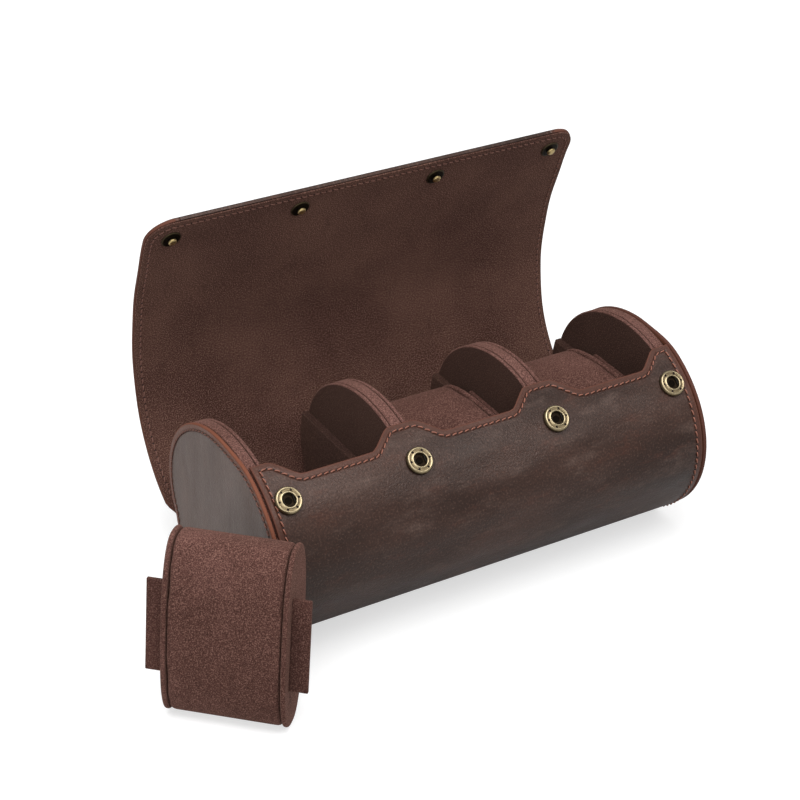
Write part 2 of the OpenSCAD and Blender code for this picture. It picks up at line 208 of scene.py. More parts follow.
# A strip of the skin as a mesh.
# Both faces are grids; a rounded rim joins them along the real edges, and the
# ends where one strip meets the next stay open, with the same normals.
steps_in = np.array([0, 0.0008, 0.0016, 0.0023, 0.003, 0.0037, 0.0046, 0.006, 0.008])  # columns at each side
columns = 87  # across the middle, with both ends counted
front_deep = 0.030  # the rows nearer the front than this follow the scallops
front_rows = np.r_[steps_in, np.linspace(0.0105, front_deep, 9)] / front_deep
row_step, middle_step = 0.0025, 0.0024  # between rows, on the first and last strip and on those between


def strip_grid(s0, s1, margin):
    """The places x and s of a strip's grid points, one row for each place along the section."""
    if s0 <= 0:
        rows = [("front", v) for v in front_rows]
        rows += [("line", s) for s in np.arange(front_deep + row_step, s1 - 0.001, row_step)] + [("line", s1)]
    elif s1 >= s_end:
        a = np.linspace(0, math.pi / 2, 18)
        rows = [("line", s) for s in np.arange(s0, s_end - corner - 0.001, row_step)]
        rows += [("line", s) for s in s_end - corner + corner * np.sin(a)]
    else:
        rows = [("line", s) for s in np.linspace(s0, s1, int((s1 - s0) / middle_step) + 2)]
    X, S = [], []
    for kind, v in rows:
        w = float(half_width(v * front_deep if kind == "front" else v)) - margin
        mid = (w - steps_in[-1]) * np.linspace(-1, 1, columns)[1:-1]
        x = np.r_[-w + steps_in, mid, (w - steps_in)[::-1]]
        X.append(x)
        if kind == "front":
            f = front_edge(x) + margin
            S.append(f + (front_deep - f) * v)
        else:
            S.append(np.full_like(x, min(v, s_end - margin)))
    return np.array(X), np.array(S)


def strip_rim(X, S, first, last):
    """The loop round a strip's grid: grid indices, places and the way out of the strip, both in x and s.

    The last list says for each side of the loop whether the next strip goes on there.
    """
    n, m = X.shape
    loop = [(i, 0) for i in range(n - 1, 0, -1)] + [(0, j) for j in range(m - 1)]
    loop += [(i, m - 1) for i in range(n - 1)] + [(n - 1, j) for j in range(m - 1, 0, -1)]
    count = len(loop)
    cut = []
    for k, (i, j) in enumerate(loop):
        i2 = loop[(k + 1) % count][0]
        cut.append((i == i2 == 0 and not first) or (i == i2 == n - 1 and not last))
    rim = np.array([[X[i, j], S[i, j]] for i, j in loop])
    away = np.zeros_like(rim)
    for k in range(count):
        for q in (k, (k - 1) % count):
            if not cut[q]:
                d = rim[(q + 1) % count] - rim[q]
                away[k] += np.array([d[1], -d[0]]) / max(np.linalg.norm(d), 1e-9)
    size = np.linalg.norm(away, axis=1, keepdims=True)
    away = np.divide(away, size, out=np.zeros_like(away), where=size > 1e-6)
    # the loop may run either way round, so the middle of its far side tells which way is out
    if np.dot(away[count // 2], rim[count // 2] - rim.mean(0)) < 0:
        away = -away
    return loop, rim, away, cut


def linked(name, data):
    """A new object in the scene, from a mesh or a light."""
    o = bpy.data.objects.new(name, data)
    bpy.context.scene.collection.objects.link(o)
    return o


def point_values(mesh, name, values):
    """One number for each point of a mesh."""
    mesh.attributes.new(name, "FLOAT", "POINT").data.foreach_set("value", values.astype(np.float32))


def skin_piece(name, V, N, UV, faces):
    """A piece of the skin from its points, their normals, their places in x and s, and its faces."""
    # drops rim points that no face uses
    used = np.unique(np.array(faces).ravel())
    new = np.full(len(V), -1)
    new[used] = np.arange(len(used))
    F = new[np.array(faces)]
    V, N, UV = V[used], N[used], UV[used]
    # turns every face to agree with its normals
    P = V[F]
    geo = np.cross(P[:, 2] - P[:, 0], P[:, 3] - P[:, 1])
    wrong = np.einsum("ij,ij->i", geo, N[F].mean(1)) < 0
    F[wrong] = F[wrong][:, ::-1]
    mesh = bpy.data.meshes.new(name)
    mesh.from_pydata(V.tolist(), [], F.tolist())
    mesh.update()
    layer = mesh.uv_layers.new(name="skin")
    corner_uv = UV[np.array([l.vertex_index for l in mesh.loops])]
    layer.data.foreach_set("uv", corner_uv.astype(np.float32).ravel())
    point_values(mesh, "edge", edge_distance(UV))
    for p in mesh.polygons:
        p.use_smooth = True
    mesh.normals_split_custom_set_from_vertices(N.tolist())
    return linked(name, mesh)


def strip_mesh(name, s0, s1, low, high, r, margin=0.0):
    """The skin from s0 to s1 and from low to high above the inner face, with edges rounded to r."""
    X, S = strip_grid(s0, s1, margin)
    loop, rim, away, cut = strip_rim(X, S, s0 <= 0, s1 >= s_end)
    for k, (i, j) in enumerate(loop):
        X[i, j], S[i, j] = rim[k] - r * away[k]
    verts, normals, uvs = [], [], []

    def add(x, s, off, side, up):
        """Points with their normals, made of a part to the side, in x and s, and a part up."""
        p, out = on_curve(x, s, off)
        verts.append(p.reshape(-1, 3))
        uvs.append(np.stack([x.ravel(), s.ravel()], -1))
        along = np.stack([np.zeros_like(out[..., 0]), -out[..., 2], out[..., 1]], -1)
        beside = side[..., :1] * np.array([1.0, 0, 0]) + side[..., 1:] * along if side is not None else 0
        v = up * out + beside
        normals.append((v / np.linalg.norm(v, axis=-1, keepdims=True)).reshape(-1, 3))

    add(X, S, high, None, 1.0)
    add(X, S, low, None, -1.0)
    n, m = X.shape
    top = np.arange(n * m).reshape(n, m)
    bottom = top + n * m
    faces = []
    for i in range(n - 1):
        for j in range(m - 1):
            faces.append((top[i, j], top[i + 1, j], top[i + 1, j + 1], top[i, j + 1]))
            faces.append((bottom[i, j], bottom[i, j + 1], bottom[i + 1, j + 1], bottom[i + 1, j]))
    # the rim: four lines of points between the two faces, each with its inset, height and upward part
    profile = [(0.3, high - 0.3 * r, 0.7), (0.0, high - r, 0.0),
               (0.0, low + r, 0.0), (0.3, low + 0.3 * r, -0.7)]
    for inset, off, up in profile:
        q = rim - (inset * r) * away
        add(q[:, 0], q[:, 1], off, away * max(0.05, 1 - abs(up)) + 1e-9, up)
    count = len(loop)
    lines = [np.array([top[i, j] for i, j in loop])]
    lines += [2 * n * m + count * a + np.arange(count) for a in range(len(profile))]
    lines += [np.array([bottom[i, j] for i, j in loop])]
    for one, two in zip(lines, lines[1:]):
        for k in range(count):
            if not cut[k]:
                k2 = (k + 1) % count
                faces.append((one[k], one[k2], two[k2], two[k]))
    return skin_piece(name, np.concatenate(verts), np.concatenate(normals), np.concatenate(uvs), faces)


cuts = [0.0] + [s_hinge[0] + strip_len * (k + 0.5) for k in range(4)] + [s_end]
bend_reach = 0.011  # the reach on each side of a hinge that blend_at works out; nothing is bent by it


def blend_at(piece, k):
    """Bakes a piece of the skin's place into its mesh. The span round hinge k is worked out but not used, so
    nothing is bent.
    """
    p, _ = on_curve(0.0, np.array([s_hinge[k] - bend_reach, s_hinge[k] + bend_reach]), skin_t / 2)
    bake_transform(piece)


# Leather.
# Oiled leather with a soft shine: dark brown with lighter, greyer pulls, a
# faint red mottle, redder towards its edges and matt at the cut. The point
# value "edge" says how far a point lies from the leather's edge.
seam_in, groove_half = 0.003, 0.0009  # the seam lies in a shallow groove


def new_material(name):
    m = bpy.data.materials.new(name)
    m.use_nodes = True
    m.node_tree.nodes.clear()
    return m


def node(m, kind, **sockets):
    """A shader node with its plain values set and the sockets that another node drives linked.

    A key such as i0 names a socket by its number, and a key that starts with _ sets a property.
    """
    n = m.node_tree.nodes.new("ShaderNode" + kind)
    for key, value in sockets.items():
        if key.startswith("_"):
            setattr(n, key[1:], value)
            continue
        s = n.inputs[int(key[1:])] if key[0] == "i" and key[1:].isdigit() else n.inputs[key.replace("_", " ")]
        if isinstance(value, bpy.types.NodeSocket):
            m.node_tree.links.new(value, s)
        else:
            s.default_value = value
    return n


def srgb(code):
    v = [int(code[i : i + 2], 16) / 255 for i in (1, 3, 5)]
    return [c / 12.92 if c <= 0.04045 else ((c + 0.055) / 1.055) ** 2.4 for c in v] + [1.0]


def mix(m, fac, a, b):
    return node(m, "Mix", _data_type="RGBA", i0=fac, i6=a, i7=b).outputs[2]


def math_node(m, how, a, b=0.5, c=0.5, clamp=False):
    return node(m, "Math", _operation=how, _use_clamp=clamp, i0=a, i1=b, i2=c).outputs[0]


def ramp(m, value, low, high, to_low=0.0, to_high=1.0):
    return node(m, "MapRange", _interpolation_type="SMOOTHSTEP",
                i0=value, i1=low, i2=high, i3=to_low, i4=to_high).outputs[0]


def tinted(m, colour, strength, amount, code):
    """The colour, drawn towards another one where strength is high."""
    return mix(m, math_node(m, "MULTIPLY", strength, amount), colour, srgb(code))


def plus(m, value, more, amount, how="ADD"):
    """value + more * amount, or minus it."""
    return math_node(m, how, value, math_node(m, "MULTIPLY", more, amount))


def noise_at(m, where, scale, detail=2.0, rough=0.5, stretch=None):
    if stretch:
        where = node(m, "Mapping", Vector=where, Scale=stretch).outputs[0]
    return node(m, "TexNoise", Vector=where, Scale=scale, Detail=detail, Roughness=rough).outputs[0]


def place_in(m, coords):
    """Flat places on the skin, or places in space for every other piece."""
    if coords == "skin":
        return node(m, "UVMap", _uv_map="skin").outputs[0]
    return node(m, "TexCoord").outputs["Object"]


def leather_material(name, coords, dark, light, pulled, red, rim, flow, crease, mottled=0.4, red_to=0.0048,
                     pores=0.5):
    """flow stretches the pulls, crease is the depth of the slow folds, red_to the reach of the red edge."""
    m = new_material(name)
    where = place_in(m, coords)
    cloud = noise_at(m, where, 20, 5, 0.6, flow)
    pull = noise_at(m, where, 60, 5, 0.65, flow)
    mottle = noise_at(m, where, 85, 4, 0.7, flow)
    fine = noise_at(m, where, 1050, 3, 0.7)
    colour = mix(m, ramp(m, cloud, 0.34, 0.68), srgb(dark), srgb(light))
    colour = tinted(m, colour, ramp(m, pull, 0.50, 0.72), 0.5, pulled)
    colour = tinted(m, colour, ramp(m, mottle, 0.53, 0.68), mottled, red)
    colour = tinted(m, colour, ramp(m, fine, 0.44, 0.66), pores, "#1d1411")
    colour = tinted(m, colour, ramp(m, fine, 0.46, 0.32), 0.3 * pores, "#8a7064")
    # redder near the edge, along an uneven line, then the cut itself and the seam's groove
    d = node(m, "Attribute", _attribute_name="edge").outputs["Fac"]
    wander = math_node(m, "MULTIPLY_ADD", noise_at(m, where, 90, 3, 0.6), 0.004, -0.002)
    near = ramp(m, math_node(m, "SUBTRACT", d, wander), 0.0018, red_to, 1, 0)
    colour = tinted(m, colour, near, 0.8, red)
    cut = ramp(m, d, 0.0002, 0.0009, 1, 0)
    colour = mix(m, cut, colour, srgb(rim))
    groove = math_node(m, "ABSOLUTE", math_node(m, "SUBTRACT", d, seam_in))
    groove = ramp(m, groove, 0.0, groove_half, 1, 0)
    colour = tinted(m, colour, groove, 0.5, "#26160f")
    grain = node(m, "TexVoronoi", Vector=where, Scale=1150.0, Randomness=1.0).outputs["Distance"]
    height = math_node(m, "MULTIPLY", grain, 0.35)
    height = plus(m, height, fine, 0.8)
    height = plus(m, height, pull, 2.4)
    height = plus(m, height, groove, 2.2, "SUBTRACT")
    folds = noise_at(m, where, 13, 2, 0.4, (0.5, 1.5, 1))
    soft = node(m, "Bump", Strength=1.0, Distance=crease, Height=folds).outputs[0]
    bump = node(m, "Bump", Strength=0.6, Distance=0.00026, Height=height, Normal=soft).outputs[0]
    rough = plus(m, ramp(m, pull, 0.3, 0.7, 0.35, 0.47), cut, 0.4)
    bsdf = node(m, "BsdfPrincipled", Base_Color=colour, Roughness=rough, Normal=bump, Specular_IOR_Level=0.42,
                Specular_Tint=srgb("#f6e8e1"))
    node(m, "OutputMaterial", Surface=bsdf.outputs[0])
    return m


# Suede.
# A short nap with no shine: fine speckle, and slow clouds where the nap was
# brushed one way or the other.
def suede_material(name, coords, dark, light, speckle):
    m = new_material(name)
    where = place_in(m, coords)
    nap = noise_at(m, where, 1900, 2, 0.6)
    brush = noise_at(m, where, 130, 4, 0.65, (1, 0.6, 1))
    cloud = noise_at(m, where, 22, 3, 0.5)
    colour = mix(m, ramp(m, cloud, 0.3, 0.7), srgb(dark), srgb(light))
    colour = tinted(m, colour, ramp(m, nap, 0.5, 0.66), 0.38 * speckle, "#9a7468")
    colour = tinted(m, colour, ramp(m, nap, 0.5, 0.34), 0.55 * speckle, "#241512")
    colour = tinted(m, colour, ramp(m, brush, 0.55, 0.75), 0.3, "#2c1b17")
    bump = node(m, "Bump", Strength=0.8, Distance=0.0003, Height=plus(m, nap, brush, 0.8)).outputs[0]
    bsdf = node(m, "BsdfPrincipled", Base_Color=colour, Roughness=0.95, Normal=bump, Specular_IOR_Level=0.1,
                Sheen_Weight=0.25, Sheen_Roughness=0.5, Sheen_Tint=srgb("#b08878"))
    node(m, "OutputMaterial", Surface=bsdf.outputs[0])
    return m


# The outer leather.
# One piece of leather round the roll and up the flap. It is made as five
# strips that meet edge to edge, cut at the middles of the flap's strips.
lining_t, leather_from = 0.00082, 0.00085  # the lining's outer face and the leather's inner face
skin_leather = leather_material("oiled_leather", "skin", dark="#251611", light="#3d2922", pulled="#594841",
                                red="#48291f", rim="#553024", flow=(0.6, 1.4, 1), crease=0.013)
for k in range(5):
    piece = strip_mesh(f"leather_{k}", cuts[k], cuts[k + 1], leather_from, skin_t, r=0.00035)
    piece.data.materials.append(skin_leather)
    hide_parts(*(["shell_leather"] if k == 0 else []), f"flap_leather_{k + 1}")
    blend_at(piece, k)


# The suede lining.
# It is glued inside the leather and shows in the bays and all over the
# inside of the flap, a hair back from the leather's edge.
skin_lining = suede_material("lining_suede", "skin", "#3f2923", "#543b32", 1.2)
for k in range(5):
    piece = strip_mesh(f"lining_{k}", cuts[k], cuts[k + 1], 0.0, lining_t, r=0.00025, margin=0.0003)
    piece.data.materials.append(skin_lining)
    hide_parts(*(["shell_lining"] if k == 0 else []), f"flap_lining_{k + 1}")
    blend_at(piece, k)


# Stitches.
# Short slanted threads that arch out of the surface and dip into it at both
# ends, with a needle hole between each two: a small dark disc on the surface,
# painted shade in place of the hole.
def flecked_material(name, scale, detail, rough, dark, light, roughness):
    """Two close colours, mixed by a fine noise."""
    m = new_material(name)
    where = node(m, "TexCoord").outputs["Object"]
    colour = mix(m, noise_at(m, where, scale, detail, rough), srgb(dark), srgb(light))
    bsdf = node(m, "BsdfPrincipled", Base_Color=colour, Roughness=roughness)
    node(m, "OutputMaterial", Surface=bsdf.outputs[0])
    return m


thread = flecked_material("thread", 1500, 2, 0.6, "#6b3d30", "#96624f", 0.6)
dull_thread = flecked_material("dull_thread", 1500, 2, 0.6, "#54342b", "#7a5144", 0.6)
# near black, painted shade: the dark of the needle holes and of the sockets' pin holes
hole_shade = flecked_material("needle_hole_shade", 900, 2, 0.5, "#170d0a", "#2a1712", 0.9)
stitch_pitch = 0.0031
hole_r, hole_lift = 0.00040, 0.00004
thread_sides, hole_corners = 6, 8
# the height of a thread's middle above the surface, at six places along it
thread_arch = ((0, -0.0003), (0.12, 0.00012), (0.35, 0.00026), (0.65, 0.00026), (0.88, 0.00012), (1, -0.0003))


def spaced(line, pitch):
    """Points along a closed line, one pitch apart."""
    line = np.concatenate([line, line[:1]])
    d = np.r_[0, np.cumsum(np.linalg.norm(np.diff(line, axis=0), axis=1))]
    count = int(round(d[-1] / pitch))
    at = np.linspace(0, d[-1], count + 1)
    return np.stack([np.interp(at, d, line[:, i]) for i in (0, 1)], -1)


def round_points(middle, up, beside, r, count):
    """A ring of points round each middle, in the plane of up and beside."""
    turn = np.arange(count) * 2 * math.pi / count
    about = np.cos(turn)[:, None] * up[..., None, :] + np.sin(turn)[:, None] * beside[..., None, :]
    return middle[..., None, :] + r * about


def threads(a, b, surface, side, radius):
    """The points and faces of a thread from each place of a to the same place of b."""
    path = [surface(*(a + t * (b - a)).T, side * arch) for t, arch in thread_arch]
    P, N = (np.array(v) for v in zip(*path))
    T = np.gradient(P, axis=0)
    T /= np.linalg.norm(T, axis=2, keepdims=True)
    B = np.cross(T, N * side)
    B /= np.linalg.norm(B, axis=2, keepdims=True)
    V = round_points(P, np.cross(B, T), B, radius, thread_sides)
    last_ring = thread_sides * (len(P) - 1)
    faces = []
    for i in range(len(a)):
        first = i * (last_ring + thread_sides)
        for r in range(first, first + last_ring, thread_sides):
            for q in range(thread_sides):
                q2 = (q + 1) % thread_sides
                faces.append((r + q, r + q2, r + thread_sides + q2, r + thread_sides + q))
        faces.append(tuple(first + q for q in range(thread_sides - 1, -1, -1)))
        faces.append(tuple(first + last_ring + q for q in range(thread_sides)))
    return V.transpose(1, 0, 2, 3).reshape(-1, 3), faces


def needle_holes(a, d, surface, side):
    """The corners of a round hole at each place of a, where the seam runs on along d."""
    spot, up = surface(*a.T, side * hole_lift)
    along = surface(*(a + d * 1e-4).T, side * hole_lift)[0] - spot
    along /= np.linalg.norm(along, axis=1, keepdims=True)
    return round_points(spot, along, np.cross(up, along), hole_r, hole_corners).reshape(-1, 3)


def stitches(name, points, surface, side, yarn=thread, slant=0.00022, radius=0.00031):
    """points: a run of flat places; surface(a, b, off) gives where they lie and the normal."""
    a, b = points[:-1], points[1:]
    d = (b - a) / np.linalg.norm(b - a, axis=1, keepdims=True)
    across = np.stack([-d[:, 1], d[:, 0]], -1) * slant
    V, faces = threads(a + 0.14 * (b - a) + across, a + 0.86 * (b - a) - across, surface, side, radius)
    thread_faces, first_hole = len(faces), len(V)
    order = np.arange(hole_corners)[:: int(side)]
    faces += [tuple(int(v) for v in first_hole + hole_corners * i + order) for i in range(len(a))]
    V = np.concatenate([V, needle_holes(a, d, surface, side)])
    V[:, 2] = np.maximum(V[:, 2], 0)  # pressed flat where the roll rests on them
    mesh = bpy.data.meshes.new(name)
    mesh.from_pydata(V.tolist(), [], faces)
    mesh.materials.append(yarn)
    mesh.materials.append(hole_shade)
    for i, p in enumerate(mesh.polygons):
        p.use_smooth = i < thread_faces
        p.material_index = 0 if i < thread_faces else 1
    mesh.update()
    return linked(name, mesh)


# Seams of the skin.
# One row all round, 3 mm from the edge, seen outside on the wrap and flap
# and also inside on the flap.
def join(name, parts):
    """Makes one piece of several meshes."""
    for o in bpy.context.view_layer.objects:
        o.select_set(o in parts)
    bpy.context.view_layer.objects.active = parts[0]
    bpy.ops.object.join()
    parts[0].name = name
    return parts[0]


inner_from = 0.004  # the inner row starts this far above the first hinge
seam = spaced(outline(seam_in), stitch_pitch)
half = (seam[:-1, 1] + seam[1:, 1]) / 2
for k in range(5):
    own = (half >= cuts[k]) & (half < cuts[k + 1])
    parts = []
    runs = np.flatnonzero(np.diff(np.r_[0, own.astype(int), 0]))
    for a, b in zip(runs[::2], runs[1::2]):
        pts = seam[a : b + 1]
        parts.append(stitches("run", pts, lambda x, s, off: on_curve(x, s, skin_t + off), 1))
        inside = pts[pts[:, 1] > s_hinge[0] + inner_from]
        if len(inside) > 1:
            parts.append(stitches("run", inside, lambda x, s, off: on_curve(x, s, off), -1, dull_thread))
    piece = join(f"seam_{k}", parts)
    blend_at(piece, k)


# Drums.
# The ends and dividers are oval drums of board. Each layer is a slab with a
# rounded rim, whose outer face may be slightly crowned.
face_insets = (0.0012, 0.0018, 0.0024, 0.003, 0.0036, 0.0044, 0.006, 0.009, 0.014, 0.022, 0.032)
crown_from, crown_len = 0.0036, 0.010


def drum(name, x0, x1, grow, r, crown=0.0):
    """A slab of the oval grown by grow, from x0 to x1, its rim rounded to r and its face at x1 crowned."""
    t = np.linspace(-180, 180, 181)[:-1]
    g = grow(t) if callable(grow) else np.full_like(t, grow)
    sign = 1 if x1 > x0 else -1
    insets = [v for v in face_insets if v > r]
    rings = [(x0, v) for v in insets[::-1]]
    for a in np.linspace(0, math.pi / 2, 5):
        rings.append((x0 + sign * r * (1 - math.cos(a)), r * (1 - math.sin(a))))
    for a in np.linspace(math.pi / 2, 0, 5):
        rings.append((x1 - sign * r * (1 - math.cos(a)), r * (1 - math.sin(a))))
    for v in insets:
        rings.append((x1 + sign * (crown * (1 - math.exp(-max(v - crown_from, 0) / crown_len))), v))
    verts, dist = [], []
    for x, v in rings:
        base = np.stack([oval(np.array([a]), gg - v)[0] for a, gg in zip(t, g)])
        verts.append(np.stack([np.full(len(t), x), base[:, 0], base[:, 1]], -1))
        dist.append(np.full(len(t), v))
    V = np.concatenate(verts)
    n, L = len(t), len(rings)
    faces = [(i * n + j, i * n + (j + 1) % n, (i + 1) * n + (j + 1) % n, (i + 1) * n + j)
             for i in range(L - 1) for j in range(n)]
    faces += [tuple(range(n)), tuple((L - 1) * n + q for q in range(n - 1, -1, -1))]
    mesh = bpy.data.meshes.new(name)
    mesh.from_pydata(V.tolist(), [], faces)
    bm = bmesh.new()
    bm.from_mesh(mesh)
    bmesh.ops.recalc_face_normals(bm, faces=bm.faces)
    bm.to_mesh(mesh)
    bm.free()
    for p in mesh.polygons:
        p.use_smooth = True
    point_values(mesh, "edge", np.concatenate(dist))
    return linked(name, mesh)


# End discs.
# Smooth leather discs close the ends. They are flush with the wrap, and drop
# to the rim of the drum where the flap comes over them. A seam runs 3 mm
# inside their burnished edge.
disc_in, disc_out = 0.1062, 0.1080
flush, drop = -0.0003, 0.0022  # the disc's growth along the wrap, and how much less it grows under the flap
drop_from, drop_over = -29.7, 25  # in degrees from the top
rise_to, rise_over = 126, 11


def disc_grow(t):
    """Drops before the top, and rises again where the flap leaves the roll."""
    shares = ((t - drop_from) / drop_over, (rise_to - t) / rise_over)
    shares = [np.clip(u, 0, 1) for u in shares]
    return flush - drop * np.minimum(*(u * u * (3 - 2 * u) for u in shares))


def dress(piece, stands_for, body):
    """The CAD node and the body of a piece that bends nowhere: hides the node it stands for, if any, and sets
    the piece on the body.
    """
    if stands_for:
        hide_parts(stands_for)
    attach(piece, body)


# the right disc's cut edge is painted darker than the left's: painted shade on the end away from the light
for side, word, cut_colour_and_shade in ((-1, "left", "#6b3d2b"), (1, "right", "#4c2a20")):
    disc_leather = leather_material(f"disc_leather_{word}", "object", dark="#51413a", light="#65554e",
                                    pulled="#72635b", red="#653925", rim=cut_colour_and_shade, flow=(1, 1.2, 0.55),
                                    crease=0.002, mottled=0.08, red_to=0.0042, pores=0.2)
    piece = drum(f"disc_{word}", side * disc_in, side * disc_out, disc_grow, r=0.0006, crown=0.0006)
    piece.data.materials.append(disc_leather)
    t = np.linspace(-180, 180, 1441)[:-1]
    line = np.stack([oval(np.array([a]), g - seam_in)[0] for a, g in zip(t, disc_grow(t))])

    def on_disc(y, z, off, side=side):
        p = np.stack([np.full_like(y, side * (disc_out + 0.00002) + side * off), y, z], -1)
        return p, np.broadcast_to(np.array([float(side), 0, 0]), p.shape)

    disc_seam = stitches(f"disc_seam_{word}", spaced(line, stitch_pitch), on_disc, 1, dull_thread)
    dress(piece, f"end_disc_{word}", "root")
    dress(disc_seam, None, "root")


# Rim bands and boards.
# Between the boards of each drum lies a strip of suede, a little narrower
# than the rim, so that a dark line shows on both sides of it.
band_suede = suede_material("band_suede", "object", "#523630", "#62443e", 1.2)
# the boards' flat faces face into the bays and take a much darker copy of the suede, painted shade; their
# rims take band_suede
board_suede_shaded = suede_material("board_suede_shaded", "object", "#281a16", "#32221d", 0.4)
core_board = flecked_material("core_board", 600, 3, 0.5, "#1c120f", "#2b1c18", 0.9)
core_grow, band_grow, band_gap = -0.0039, -0.0027, 0.0004
drums = [("end", "left", -0.10615, -0.10065), ("end", "right", 0.10065, 0.10615),
         ("divider", "left", -0.03735, -0.03165), ("divider", "right", 0.03165, 0.03735)]
for kind, word, x0, x1 in drums:
    inside = drum(f"{kind}_core_{word}_look", x0, x1, core_grow, r=0.0005)
    inside.data.materials.append(core_board)
    dress(inside, f"{kind}_core_{word}" if kind == "end" else f"{kind}_{word}_core", "root")
    band = drum(f"{kind}_band_{word}_look", x0 + band_gap, x1 - band_gap, band_grow, r=0.0005)
    band.data.materials.append(band_suede)
    dress(band, f"{kind}_band_{word}" if kind == "end" else f"{kind}_{word}_band", "root")
boards = [("end_board_left", -0.1006, -0.0990), ("end_board_right", 0.0990, 0.1006),
          ("divider_left_board_a", -0.0390, -0.0374), ("divider_left_board_b", -0.0316, -0.0300),
          ("divider_right_board_a", 0.0300, 0.0316), ("divider_right_board_b", 0.0374, 0.0390)]
for name, x0, x1 in boards:
    piece = drum(name + "_look", x0, x1, band_grow, r=0.0006)
    piece.data.materials.append(board_suede_shaded)
    piece.data.materials.append(band_suede)
    for p in piece.data.polygons:
        xs = [piece.data.vertices[v].co.x for v in p.vertices]
        if max(xs) - min(xs) > 1e-5:
            p.material_index = 1
    dress(piece, name, "root")


# Ledges.
# A low suede board on each wall of a bay, cut to the wrap's oval, with the
# edges of its open face rounded.
def from_bmesh(name, bm, material):
    """A smooth-shaded object from a bmesh, linked to the scene."""
    mesh = bpy.data.meshes.new(name)
    bm.to_mesh(mesh)
    bm.free()
    for q in mesh.polygons:
        q.use_smooth = True
    mesh.set_sharp_from_angle(angle=math.radians(42))
    mesh.materials.append(material)
    return linked(name, mesh)


# as dark as the boards' faces: painted shade for the ledges deep in the bays
ledge_suede_shaded = suede_material("ledge_suede_shaded", "object", "#281a17", "#38261f", 0.5)
ledge_wall, ledge_face, ledge_top, ledge_grow = 0.02990, 0.0265, 0.0569, -0.00275
ledge_arc, ledge_r = (74.8, 285.2), 0.0009  # the arc in degrees from the top
for bay in (1, 2, 3):
    for side, word in ((-1, "left"), (1, "right")):
        t = np.linspace(*ledge_arc, 90)
        yz = np.stack([oval(np.array([v]), ledge_grow)[0] for v in t])
        yz[0, 1] = yz[-1, 1] = ledge_top
        wall, face = ((bay - 2) * bay_pitch + side * v for v in (ledge_wall, ledge_face))
        bm = bmesh.new()
        back = [bm.verts.new((wall, *q)) for q in yz]
        front = [bm.verts.new((face, *q)) for q in yz]
        bm.faces.new(back)
        open_face = bm.faces.new(front)
        for i in range(len(yz)):
            j = (i + 1) % len(yz)
            bm.faces.new((back[i], back[j], front[j], front[i]))
        bmesh.ops.recalc_face_normals(bm, faces=bm.faces)
        bmesh.ops.bevel(bm, geom=list(open_face.edges), offset=ledge_r, segments=4, affect="EDGES",
                        profile=0.5)
        piece = from_bmesh(f"ledge_{bay}_{word}_look", bm, ledge_suede_shaded)
        dress(piece, f"ledge_{bay}_{word}", "root")


# Brass.
# Old brass, bright on the crests and nearly black where it lies deep; a point
# value says how far up a point lies, and on the studs it also lightens the
# base's outer rim as a painted highlight.
def brass_material(name, dark, mid, light):
    m = new_material(name)
    where = node(m, "TexCoord").outputs["Object"]
    worn = node(m, "Attribute", _attribute_name="worn").outputs["Fac"]
    spots = noise_at(m, where, 1400, 4, 0.6)
    level = math_node(m, "ADD", worn, math_node(m, "MULTIPLY_ADD", spots, 0.5, -0.25), clamp=True)
    low = mix(m, ramp(m, level, 0.0, 0.5), srgb(dark), srgb(mid))
    colour = mix(m, ramp(m, level, 0.5, 1.0), low, srgb(light))
    rough = ramp(m, level, 0.0, 1.0, 0.62, 0.36)
    bump = node(m, "Bump", Strength=0.25, Distance=0.00008, Height=spots).outputs[0]
    bsdf = node(m, "BsdfPrincipled", Base_Color=colour, Metallic=1.0, Roughness=rough, Normal=bump)
    node(m, "OutputMaterial", Surface=bsdf.outputs[0])
    return m


old_brass = brass_material("old_brass", "#2b231a", "#7a6c53", "#ab9c7d")
dark_brass = brass_material("dark_brass", "#15110d", "#4a4030", "#c4ae7c")


def lathe(profile, segments=72):
    """A turned form from (radius, height) points in millimetres."""
    bm = bmesh.new()
    rows = []
    for r, z in profile:
        if r < 1e-6:
            rows.append([bm.verts.new((0, 0, z * 1e-3))])
        else:
            a = np.arange(segments) * 2 * math.pi / segments
            rows.append([bm.verts.new((r * 1e-3 * math.cos(v), r * 1e-3 * math.sin(v), z * 1e-3)) for v in a])
    for one, two in zip(rows, rows[1:]):
        for i in range(segments):
            j = (i + 1) % segments
            q = [one[i % len(one)], one[j % len(one)], two[j % len(two)], two[i % len(two)]]
            q = [v for k, v in enumerate(q) if v not in q[:k]]
            if len(q) > 2:
                bm.faces.new(q)
    return bm


def worn_by(o, rule):
    """Wear, and on the studs a painted highlight, at each point of a turned form, from its radius and height
    in millimetres.
    """
    co = np.array([v.co for v in o.data.vertices]) * 1e3
    point_values(o.data, "worn", np.clip(rule(np.hypot(co[:, 0], co[:, 1]), co[:, 2]), 0, 1))
    o.data.set_sharp_from_angle(angle=math.radians(40))


def set_at(name, model, places):
    """Copies of a small model, moved to places given as (point, direction of its own Z)."""
    parts = []
    for i, (p, z) in enumerate(places):
        o = linked(f"{name}_{i}", model.data.copy())
        x = Vector((1, 0, 0))
        z = Vector(z).normalized()
        y = z.cross(x)
        o.data.transform(Matrix.Translation(p) @ Matrix((x, y, z)).transposed().to_4x4())
        parts.append(o)
    bpy.data.objects.remove(model)
    return join(name, parts)


